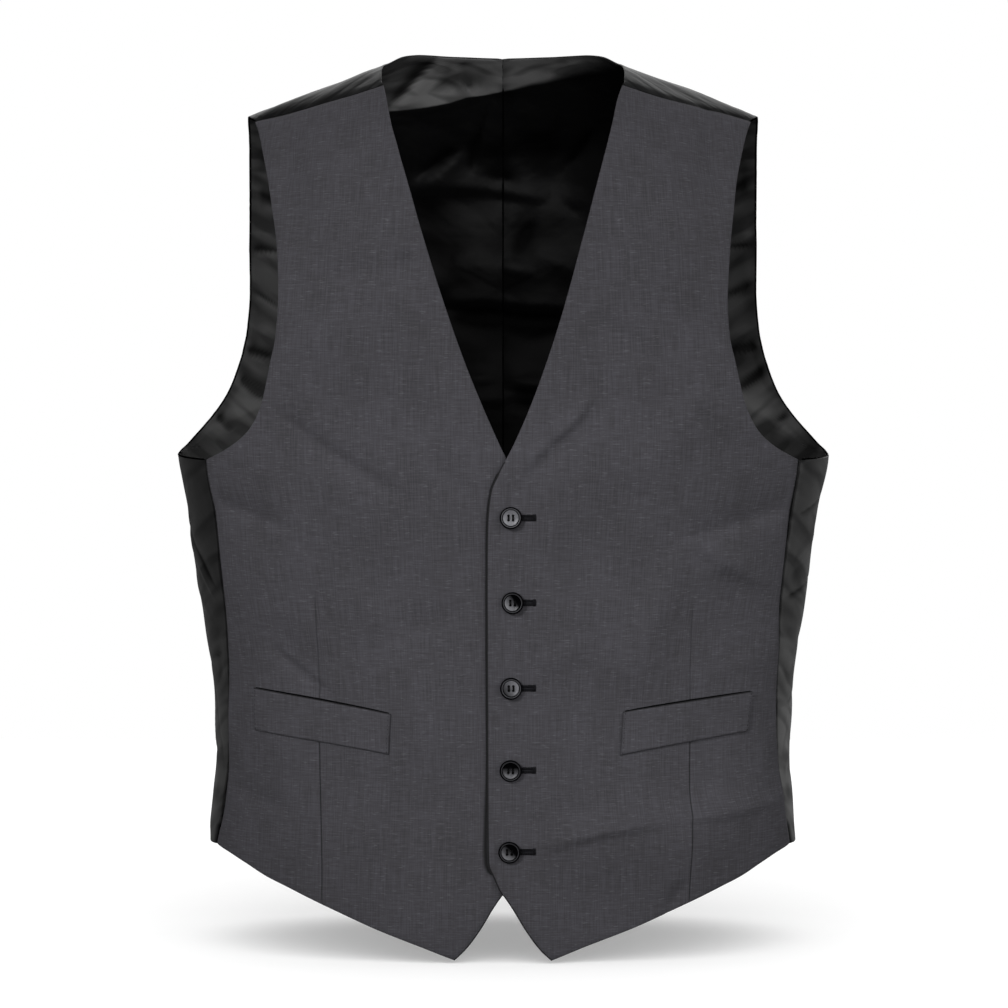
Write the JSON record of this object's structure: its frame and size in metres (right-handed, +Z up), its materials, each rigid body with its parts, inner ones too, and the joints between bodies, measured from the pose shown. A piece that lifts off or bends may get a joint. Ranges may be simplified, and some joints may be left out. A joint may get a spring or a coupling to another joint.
{
  "type": "suit waistcoat, filled out as worn",
  "caption": "Single-breasted suit waistcoat with a V neck, pointed fronts, welt pockets and a satin back, in the hollow form it takes when worn.",
  "frame": {"origin": "midway between the two shoulder points at the neck, where the wearer's shoulders carry the garment", "axes": "+Z up, the fronts face -Y and the back +Y, and +X is the wearer's left"},
  "size_m": [0.454, 0.207, 0.6179],
  "materials": {
    "charcoal_wool": "matt plain-weave worsted wool, slightly slubbed, charcoal grey",
    "black_satin": "black satin with a soft sheen",
    "button_resin": "polished black resin"
  },
  "bodies": {
    "root": {"front_left": "charcoal_wool", "front_right": "charcoal_wool", "back_left": "black_satin", "back_right": "black_satin", "welt_left": "charcoal_wool", "welt_right": "charcoal_wool", "button_1": "button_resin", "button_2": "button_resin", "button_3": "button_resin", "button_4": "button_resin", "button_5": "button_resin"}
  },
  "joints": []
}
